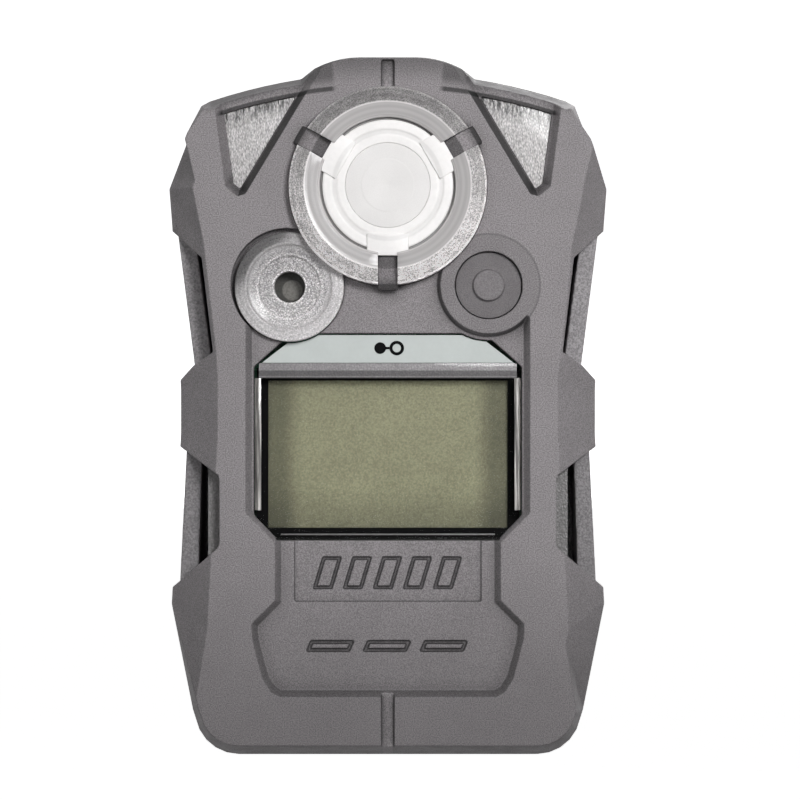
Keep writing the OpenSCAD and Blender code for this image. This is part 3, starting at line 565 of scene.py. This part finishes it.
JACKET = moulded("grey_jacket", (127, 123, 125), 0.72, grain=0.14, depth=0.035, speckle=0.36, wear=0.12,
                 shape=jacket_shade, hollow_shade_reach=2.4)
REAR_JACKET = moulded("grey_rear_jacket", (120, 116, 118), 0.74, grain=0.14, speckle=0.32, wear=0.15,
                      shape=foot_painted_shade, hollow_shade_reach=2.4)
RAIL = moulded("dark_shell", (125, 122, 124), 0.5, grain=0.22, depth=0.06, speckle=0.3, wear=0.35,
               shape=rail_shade)
KEY = moulded("grey_key", (128, 124, 126), 0.7, grain=0.13, speckle=0.22, shape=key_shade)
RING = ring_material()
BOSS = frosted("boss_clear", (198, 195, 196), 0.36, sparkle=0.42, grain=0.2, shape=horn_shade,
               smooth=horn_smooth)
WINDOW = frosted("window_clear", (204, 201, 201), 0.34, sparkle=0.3, grain=0.2, shape=window_shade,
                 stretch=(0.8, 1, 2))
BODY_CLEAR = frosted("clear_shell", (118, 116, 116), 0.4, sparkle=0.15, grain=0.3)
# the pane's edge strips: long vertical streaks of painted reflection
EDGE = frosted("edge_clear", (176, 173, 170), 0.2, sparkle=0.5, grain=0.22, depth=0.02,
               stretch=(1.2, 1, 26))
LEDGE = frosted("ledge_clear", (151, 148, 150), 0.4, sparkle=0.14, grain=0.25, shape=ledge_shade)
GLASS = clear_glass("pane_clear")
WHITE = moulded("white_translucent", (240, 238, 237), 0.42, grain=0.5, depth=0.006, speckle=0.015,
                wear=0.0, shape=disc_shade)
MEMBRANE = moulded("membrane_white", (230, 228, 227), 0.8, grain=0.12, depth=0.006, speckle=0.02,
                   wear=0.0)
BLACK_RUBBER = moulded("black_rubber", (38, 38, 39), 0.8, grain=0.3, speckle=0.15)
STEEL = metal("bright_steel", (196, 197, 199), 0.3)
SPRING = metal("spring_steel", (150, 151, 155), 0.34, brush=(1, 1, 3))
PLATE = metal("blank_plate", (186, 187, 186), 0.42, brush=(14, 1, 1))
LABEL = moulded("pale_label", (191, 197, 195), 0.5, grain=0.4, depth=0.003, speckle=0.012, wear=0.0)
PRINT = moulded("black_print", (6, 6, 7), 0.6, grain=0.3, depth=0.004, speckle=0.1, wear=0.0, gloss=0.06)
LCD = lcd_material()
SILICONE = moulded("silicone_strip", (150, 155, 170), 0.5, grain=0.5, speckle=0.06)
CELL_PLASTIC = moulded("cell_plastic", (228, 227, 218), 0.45, grain=0.5, depth=0.01, speckle=0.04)
GOLD = metal("gold_contact", (222, 184, 96), 0.25, brush=(1, 6, 1))
BLACK_PLASTIC = moulded("black_plastic", (34, 34, 36), 0.45, grain=0.35, speckle=0.12)
MESH = moulded("grey_mesh", (104, 102, 98), 0.5, grain=0.25, speckle=0.2, shape=horn_hole_shade)
PLUNGER = moulded("red_plunger", (190, 52, 40), 0.4, grain=0.4, speckle=0.06)
LED = moulded("led_lens", (238, 232, 205), 0.25, grain=0.5, depth=0.006, speckle=0.04)
MOTOR = metal("motor_steel", (176, 177, 180), 0.3, brush=(1, 8, 1))
WEIGHT = metal("weight_metal", (140, 132, 122), 0.45, brush=(1, 2, 2))
BOARD = board_material()
WRAP = moulded("cell_wrap", (48, 104, 158), 0.35, grain=0.8, depth=0.006, speckle=0.05)
NICKEL = metal("contact_nickel", (202, 200, 188), 0.3, brush=(1, 1, 6))


# ---------------------------------------------------------------- meshes
def placed(name, data):
    """A new object in the scene that holds data."""
    thing = bpy.data.objects.new(name, data)
    bpy.context.scene.collection.objects.link(thing)
    return thing


def new_piece(name, mesh, material, body, slot, *nodes):
    """Puts a mesh in the scene as a finished piece that rides on a body."""
    piece = placed(name, mesh)
    mesh.materials.clear()
    mesh.materials.append(material)
    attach(piece, body)
    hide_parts(*nodes)


def made(form, name):
    """The mesh that a form holds."""
    mesh = bpy.data.meshes.new(name)
    form.to_mesh(mesh)
    form.free()
    return mesh


def joined(form, near, far):
    """Fills the band between two rings of points."""
    for i in range(len(near)):
        j = (i + 1) % len(near)
        form.faces.new((near[i], near[j], far[j], far[i]))


def cad_copy(node):
    """A CAD node's mesh as a new, welded mesh."""
    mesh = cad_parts[node].data.copy()
    form = bmesh.new()
    form.from_mesh(mesh)
    bmesh.ops.remove_doubles(form, verts=form.verts, dist=1e-6)
    form.to_mesh(mesh)
    form.free()
    return mesh


def evaluated(holder):
    """The mesh that an object's modifiers make, with the object itself removed."""
    graph = bpy.context.evaluated_depsgraph_get()
    mesh = bpy.data.meshes.new_from_object(holder.evaluated_get(graph))
    bpy.data.objects.remove(holder)
    return mesh


def softened(mesh, voxel, rounds, most=190_000):
    """Rebuilds a mesh in small even faces, eases its edges, and thins out its flat places."""
    holder = placed("work", mesh)
    remesh = holder.modifiers.new("remesh", "REMESH")
    remesh.mode = "VOXEL"
    remesh.voxel_size = voxel * MM
    ease = holder.modifiers.new("ease", "SMOOTH")
    ease.factor = 0.5
    ease.iterations = rounds
    dense = evaluated(holder)
    holder = placed("work", dense)
    thin = holder.modifiers.new("thin", "DECIMATE")
    thin.ratio = min(1.0, most / (2 * len(dense.polygons)))
    result = evaluated(holder)
    result.shade_smooth()
    return result


def edged(mesh, width, segments=3, angle=25):
    """Rounds a mesh's sharp edges."""
    holder = placed("work", mesh)
    flat = holder.modifiers.new("flat", "DECIMATE")
    flat.decimate_type = "DISSOLVE"
    flat.angle_limit = math.radians(0.5)
    bevel = holder.modifiers.new("bevel", "BEVEL")
    bevel.width = width * MM
    bevel.segments = segments
    bevel.limit_method = "ANGLE"
    bevel.angle_limit = math.radians(angle)
    result = evaluated(holder)
    result.shade_smooth()
    result.set_sharp_from_angle(angle=math.radians(32))
    return result


def block(low, high):
    """A plain box mesh, to cut others with or to be edged."""
    form = bmesh.new()
    size = Vector(high) - Vector(low)
    at = (Vector(low) + Vector(high)) / 2
    bmesh.ops.create_cube(form, size=1, matrix=(
        Matrix.Translation(at * MM) @ Matrix.Diagonal((*(size * MM), 1))))
    return made(form, "block")


def cut(mesh, tool, operation):
    """mesh with tool taken off it, or only what lies inside tool."""
    holder = placed("work", mesh)
    knife = placed("work", tool)
    boolean = holder.modifiers.new("cut", "BOOLEAN")
    boolean.operation = operation
    boolean.solver = "EXACT"
    boolean.object = knife
    result = evaluated(holder)
    bpy.data.objects.remove(knife)
    return result


def rounded(profile, radius, steps=5):
    """A closed outline with each corner eased by an arc-like curve."""
    eased = []
    count = len(profile)
    for i, corner in enumerate(profile):
        here = Vector(corner)
        before = Vector(profile[i - 1]) - here
        after = Vector(profile[(i + 1) % count]) - here
        reach = min(radius, before.length * 0.45, after.length * 0.45)
        start = here + before.normalized() * reach
        end = here + after.normalized() * reach
        for k in range(steps + 1):
            t = k / steps
            eased.append((1 - t) ** 2 * start + 2 * t * (1 - t) * here + t * t * end)
    return eased


def turned(profile, centre, steps=192):
    """A solid of revolution about an axis along Y. The profile is (radius, y), closed."""
    form = bmesh.new()
    rings = []
    for k in range(steps):
        angle = 2 * math.pi * k / steps
        rings.append([form.verts.new(Vector((
            centre.x + r * math.cos(angle), y, centre.z + r * math.sin(angle))) * MM) for r, y in profile])
    count = len(profile)
    for k in range(steps):
        a, b = rings[k], rings[(k + 1) % steps]
        for i in range(count):
            j = (i + 1) % count
            if profile[i][0] > 0 or profile[j][0] > 0:
                form.faces.new((a[i], a[j], b[j], b[i]))
    bmesh.ops.remove_doubles(form, verts=form.verts, dist=1e-7)
    bmesh.ops.recalc_face_normals(form, faces=form.faces)
    mesh = made(form, "turned")
    mesh.shade_smooth()
    mesh.set_sharp_from_angle(angle=math.radians(32))
    return mesh


def prism(outline, axis, start, end):
    """An outline of two coordinates drawn along X, Y or Z."""
    form = bmesh.new()

    def at(point, depth):
        a, b = point
        return Vector({"X": (depth, a, b), "Y": (a, depth, b), "Z": (a, b, depth)}[axis]) * MM

    near = [form.verts.new(at(p, start)) for p in outline]
    far = [form.verts.new(at(p, end)) for p in outline]
    form.faces.new(near)
    form.faces.new(far)
    joined(form, near, far)
    bmesh.ops.recalc_face_normals(form, faces=form.faces)
    return made(form, "prism")


def wire(path, radius, sides=12):
    """A round wire along a smooth path."""
    form = bmesh.new()
    rings = []
    last = len(path) - 1
    side = Vector((1, 0, 0))
    for i, point in enumerate(path):
        along = (path[min(i + 1, last)] - path[max(i - 1, 0)]).normalized()
        side = (side - along * side.dot(along)).normalized()
        up = along.cross(side)
        rings.append([form.verts.new((point + radius * (
            math.cos(2 * math.pi * k / sides) * side + math.sin(2 * math.pi * k / sides) * up)) * MM)
            for k in range(sides)])
    for a, b in zip(rings, rings[1:]):
        joined(form, a, b)
    form.faces.new(rings[0])
    form.faces.new(rings[-1])
    bmesh.ops.recalc_face_normals(form, faces=form.faces)
    mesh = made(form, "wire")
    mesh.shade_smooth()
    mesh.set_sharp_from_angle(angle=math.radians(40))
    return mesh


# ---------------------------------------------------------------- jackets and rear case
def make_housing():
    new_piece("jacket_front", softened(cad_copy("front_overmould"), 0.12, 2), JACKET,
              "housing", "grey_jacket", "front_overmould")
    new_piece("jacket_rear", softened(cad_copy("rear_overmould"), 0.2, 3), REAR_JACKET,
              "housing", "grey_rear_jacket", "rear_overmould")
    new_piece("rear_case", softened(cad_copy("rear_shell"), 0.18, 2), RAIL,
              "housing", "dark_shell", "rear_shell")


def make_front_shell():
    """The clear shell in its visible parts: body, display pane and alarm windows, with the pane cut round the
    sounder boss.
    """
    far = 60
    ahead = ((-far, -far, -far), (far, SHELL_FRONT, 2 * far))
    pane_region = ((-PANE_X, -far, PANE_LOW), (PANE_X, PANE_BACK + 0.02, PANE_HIGH))
    hole_r = HORN_R + 0.16
    hole_back = SHELL_FRONT + 0.02
    boss_hole = [(0, -far), (hole_r, -far), (hole_r, hole_back), (0, hole_back)]
    body = cut(cad_copy("front_shell"), block(*ahead), "DIFFERENCE")
    body = cut(body, block(*pane_region), "DIFFERENCE")
    new_piece("shell_body", body, BODY_CLEAR, "housing", "clear_shell", "front_shell")
    pane = cut(cad_copy("front_shell"), block(*pane_region), "INTERSECT")
    pane = cut(pane, turned(boss_hole, HORN, 96), "DIFFERENCE")
    pane = edged(pane, 0.15, 2)
    pane.set_sharp_from_angle(angle=math.radians(12))
    new_piece("display_pane", pane, GLASS, "housing", "clear_shell", "front_shell")
    for name, side in (("left", -1), ("right", 1)):
        low_x, high_x = sorted((side * 5, side * far))
        region = ((low_x, -far, WINDOWS_FROM_Z), (high_x, SHELL_FRONT, 2 * far))
        window = cut(cad_copy("front_shell"), block(*region), "INTERSECT")
        new_piece(f"alarm_window_{name}", edged(window, 0.2), WINDOW,
                  "housing", "clear_shell", "front_shell")


def make_sounder():
    """The clear boss round the sounder port, with its stepped and frosted face."""
    front = JACKET_FRONT
    profile = rounded([
        (HORN_R, SHELL_FRONT), (HORN_R, front), (HORN_LIP_R, front), (HORN_LIP_R - 0.2, front + 0.3),
        (HORN_STEP_R, front + 0.55), (HORN_STEP_R - 0.2, front + 0.95), (PORT_R + 0.15, front + 1.05),
        (PORT_R, front + 1.2), (PORT_R, SHELL_FRONT)], 0.14)
    new_piece("sounder_boss", turned(profile, HORN), BOSS, "housing", "clear_shell", "front_shell")


def round_inlet(mesh, angle):
    """mesh moved onto the inlet's axis and turned about it by angle."""
    mesh.transform(Matrix.Translation(Vector((INLET.x, 0, INLET.z)) * MM)
                   @ Matrix.Rotation(math.radians(-angle), 4, "Y"))
    return mesh


def make_inlet():
    """The clear ring round the gas inlet, the white retainer and the membrane."""
    front = RING_FRONT
    profile = rounded([
        (BORE_R, SHELL_FRONT), (RING_R, SHELL_FRONT), (RING_R, front + 1.6), (CREST_R + 0.1, front + 0.02),
        (CREST_R - 0.3, front + 0.12), (BORE_R + 0.3, front + 0.2), (BORE_R, front + 0.5)], 0.12)
    ring = turned(profile, INLET)
    for angle in RIB_ANGLES:
        slot = block((BORE_R - 2, -60, -RIB_W / 2), (RING_R + 3, SHELL_FRONT - 0.99, RIB_W / 2))
        ring = cut(ring, round_inlet(slot, angle), "DIFFERENCE")
    new_piece("ring_clear_body", edged(ring, 0.06, 2, 40), RING, "housing", "clear_ring", "inlet_ring")
    high = mm_box("inlet_retainer")[1]
    face = DISC_FRONT
    disc = rounded([
        (MEMBRANE_R, high.y), (BORE_R - 0.02, high.y), (BORE_R - 0.02, face + 0.4), (DISC_R, face + 0.4),
        (DISC_R, face + 0.1), (DISC_R - 0.25, face), (GROOVE_R + 0.4, face),
        (GROOVE_R + 0.2, face + 0.12), (GROOVE_R - 0.2, face + 0.12), (GROOVE_R - 0.45, face + 0.02),
        (MEMBRANE_R, face + 0.03)], 0.1)
    new_piece("retainer_disc", turned(disc, INLET), WHITE, "housing", "white_translucent", "inlet_retainer")
    for k, angle in enumerate(RIB_ANGLES):
        land = block((MEMBRANE_R + 0.7, face - 0.18, -LAND_W / 2), (LAND_R, high.y - 0.1, LAND_W / 2))
        new_piece(f"retainer_land_{k + 1}", edged(round_inlet(land, angle), 0.1), WHITE,
                  "housing", "white_translucent", "inlet_retainer")
    high = mm_box("inlet_filter")[1]
    profile = rounded([
        (0, high.y), (FILTER_R, high.y), (FILTER_R, high.y - 0.3), (MEMBRANE_R - 0.02, high.y - 0.3),
        (MEMBRANE_R - 0.02, face + 0.06), (DIMPLE_R, face + 0.08), (DIMPLE_R - 0.15, face + 0.04),
        (0, face + 0.12)], 0.05, 3)
    new_piece("inlet_membrane", turned(profile, INLET, 128), MEMBRANE,
              "housing", "membrane_white", "inlet_filter")


def make_display():
    """The moulded ledge between the label and the display, and the pane's edges and sill."""
    low = LABEL_LOW.z - LEDGE_HIGH
    high = LABEL_LOW.z - 0.05
    face = LABEL_LOW.y + 0.02
    outline = [(PANE_FRONT + 0.02, low), (PANE_FRONT - 0.02, low), (face, low + 1.0), (face, high),
               (PANE_FRONT + 0.02, high)]
    new_piece("display_ledge", edged(prism(outline, "X", -LEDGE_X, LEDGE_X), 0.03, 2), LEDGE,
              "housing", "clear_shell", "front_shell")
    front = PANE_FRONT - 0.04
    for name, side in (("left", -1), ("right", 1)):
        outer, inner = side * (PANE_EDGE_X + 0.42), side * (PANE_EDGE_X - 0.38)
        section = [(inner, front), (side * PANE_EDGE_X, front - 0.06), (outer, front + 0.35),
                   (outer, front + 0.5), (inner, front + 0.3)]
        strip = prism(section, "Z", PANE_EDGE_LOW, low)
        new_piece(f"pane_edge_{name}", edged(strip, 0.04, 2), EDGE, "housing", "clear_shell", "front_shell")
    sill = block((-SILL_X, PANE_FRONT - 0.03, SILL_LOW), (SILL_X, PANE_FRONT + 0.05, SILL_HIGH))
    new_piece("pane_sill", edged(sill, 0.02, 2), BODY_CLEAR, "housing", "clear_shell", "front_shell")


def make_button():
    new_piece("button_key", softened(cad_copy("test_button"), 0.07, 3, 90_000), KEY,
              "button", "grey_key", "test_button")


# ---------------------------------------------------------------- clip
def make_clip():
    new_piece("clip_plate", softened(cad_copy("clip_base"), 0.12, 3, 120_000), STEEL,
              "housing", "bright_steel", "clip_base")
    new_piece("clip_lever", softened(cad_copy("clip_jaw"), 0.12, 4, 120_000), STEEL,
              "jaw", "bright_steel", "clip_jaw")
    new_piece("clip_pivot", edged(cad_copy("clip_pin"), 0.12), STEEL, "housing", "bright_steel", "clip_pin")
    new_piece("clip_fastener", edged(cad_copy("clip_screw"), 0.1), STEEL,
              "housing", "bright_steel", "clip_screw")
    new_piece("case_fasteners", edged(cad_copy("housing_screws"), 0.08), STEEL,
              "housing", "bright_steel", "housing_screws")


def make_spring():
    """A torsion spring: its coil and one leg stay with the base, and the other leg turns with the jaw."""
    steps = 40 * SPRING_TURNS
    sweep = 360 * SPRING_TURNS + 20
    overlap = 50
    half = SPRING_HALF_W

    def on_coil(t):
        angle = math.radians(170 + sweep * t)
        return Vector((-half + 2 * half * t, PIVOT.y + SPRING_R * math.cos(angle),
                       PIVOT.z + SPRING_R * math.sin(angle)))

    fixed = [Vector((-half, y, z)) for y, z in zip((BACK + 1.6, BACK + 1.9), FIXED_LEG_Z)]
    fixed += [on_coil(i / steps) for i in range(steps + 1)]
    new_piece("spring_coil", wire(fixed, SPRING_WIRE_R), SPRING, "housing", "spring_steel", "clip_spring")
    moving = [on_coil(1 - overlap / sweep * (1 - i / 8)) for i in range(9)]
    moving += [Vector((half, y, z)) for y, z in zip((PIVOT.y - 0.6, PIVOT.y + 7), MOVING_LEG_Z)]
    new_piece("spring_leg", wire(moving, SPRING_WIRE_R), SPRING, "jaw", "spring_steel", "clip_spring")


# ---------------------------------------------------------------- CAD pieces that keep their shape
FINISHES = {
    "housing_seal": BLACK_RUBBER, "rear_label": PLATE, "cell_gasket": BLACK_RUBBER,
    "sensor_cell": CELL_PLASTIC, "sensor_pins": GOLD, "sensor_socket": BLACK_PLASTIC,
    "label_strip": LABEL, "display_mark": PRINT, "lcd_frame": PRINT, "lcd_glass": LCD,
    "lcd_connector": SILICONE, "horn_screen": MESH, "piezo_horn": BLACK_PLASTIC,
    "button_switch": BLACK_PLASTIC, "button_plunger": PLUNGER, "alarm_leds": LED, "motor_can": MOTOR,
    "motor_weight": WEIGHT, "motor_clip": SPRING, "main_board": BOARD, "board_screws": STEEL,
    "board_chips": BLACK_PLASTIC, "battery_holder": BLACK_PLASTIC, "battery_cell": WRAP,
    "battery_contacts": NICKEL,
}


def finish_cad_nodes():
    for node, material in FINISHES.items():
        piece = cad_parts[node]
        piece.data.materials.clear()
        piece.data.materials.append(material)


# ---------------------------------------------------------------- camera, light and floor
def make_camera():
    sensor, distance, seen = 36.0, 400.0, 99.86
    widest_y = -14.5
    camera = bpy.data.cameras.new("camera")
    camera.sensor_width = sensor
    camera.lens = sensor * distance / seen
    camera.clip_start = 0.01
    camera.clip_end = 50
    holder = placed("camera", camera)
    holder.location = Vector((1.5, widest_y - distance, 44.2)) * MM
    holder.rotation_euler = (math.radians(90), 0, 0)
    bpy.context.scene.camera = holder


def make_lamp(name, place, aim, size, watts):
    lamp = bpy.data.lights.new(name, "AREA")
    lamp.shape = "DISK"
    lamp.size = size
    lamp.energy = watts
    holder = placed(name, lamp)
    holder.location = place
    holder.visible_transmission = False
    holder.rotation_euler = (Vector(aim) - Vector(place)).to_track_quat("-Z", "Y").to_euler()


def make_world():
    """A soft even surround, brighter from above than from the sides."""
    world = bpy.data.worlds.new("surround")
    bpy.context.scene.world = world
    world.use_nodes = True
    tree = world.node_tree
    coords = tree.nodes.new("ShaderNodeTexCoord")
    split = tree.nodes.new("ShaderNodeSeparateXYZ")
    ramp = tree.nodes.new("ShaderNodeMapRange")
    tree.links.new(coords.outputs["Generated"], split.inputs[0])
    tree.links.new(split.outputs["Z"], ramp.inputs[0])
    for socket, number in zip(list(ramp.inputs)[1:5], (-1.0, 1.0, 0.09, 0.11)):
        socket.default_value = number
    tree.links.new(ramp.outputs[0], tree.nodes["Background"].inputs["Strength"])
    tree.nodes["Background"].inputs["Color"].default_value = (1, 1, 1, 1)


def make_floor():
    """A pale floor that sweeps up into a pale wall all round."""
    reach, corner, height, steps = 1.4, 0.5, 2.2, 12
    line = [(0.0, 0.0), (reach - corner, 0.0)]
    line += [(reach - corner + corner * math.sin(math.pi / 2 * k / steps),
              corner - corner * math.cos(math.pi / 2 * k / steps)) for k in range(1, steps + 1)]
    line += [(reach, height)]
    form = bmesh.new()
    spokes = 96
    angles = [2 * math.pi * k / spokes for k in range(spokes)]
    rings = [[form.verts.new((r * math.cos(angle), r * math.sin(angle), z)) for angle in angles]
             for r, z in line[1:]]
    form.faces.new(rings[0])
    for a, b in zip(rings, rings[1:]):
        joined(form, a, b)
    mesh = made(form, "floor")
    mesh.shade_smooth()
    p = Paint("studio_floor")
    p.finish(p.shade(srgb(236, 236, 236), p.span(p.noise(40.0), 0.3, 0.7, 0.98, 1.0)), 0.9,
             emission_strength=1.0, emission_color=(1, 1, 1, 1))
    floor = placed("studio_floor", mesh)
    mesh.materials.append(p.material)
    floor.visible_diffuse = False
    floor.visible_shadow = False


def make_flag():
    """A dark panel behind the camera, seen only in reflections and through clear plastic.
    It keeps the display clear."""
    form = bmesh.new()
    bmesh.ops.create_circle(form, cap_ends=True, segments=48, radius=0.6,
                            matrix=Matrix.Translation((0, -0.55, 0.1)) @ Matrix.Rotation(math.pi / 2, 4, "X"))
    mesh = made(form, "flag")
    p = Paint("flag_black")
    mesh.materials.append(p.finish(p.shade(srgb(20, 20, 20), p.span(p.noise(30.0), 0.3, 0.7, 0.9, 1.1)), 0.9))
    flag = placed("flag", mesh)
    flag.visible_camera = False
    flag.visible_diffuse = False
    flag.visible_shadow = False


make_camera()
make_world()
make_floor()
make_flag()
make_lamp("key_light", (0.12, -0.34, 0.16), (0, 0, 0.05), 0.12, 1.05)
make_lamp("fill_light", (-0.38, -0.7, 0.06), (0, 0, 0.045), 0.3, 1.0)
make_lamp("back_light", (0.3, 0.8, 0.6), (0, 0, 0.045), 0.5, 7)
make_housing()
make_front_shell()
make_sounder()
make_inlet()
make_display()
make_button()
make_clip()
make_spring()
finish_cad_nodes()
bpy.context.scene.view_settings.view_transform = "Standard"
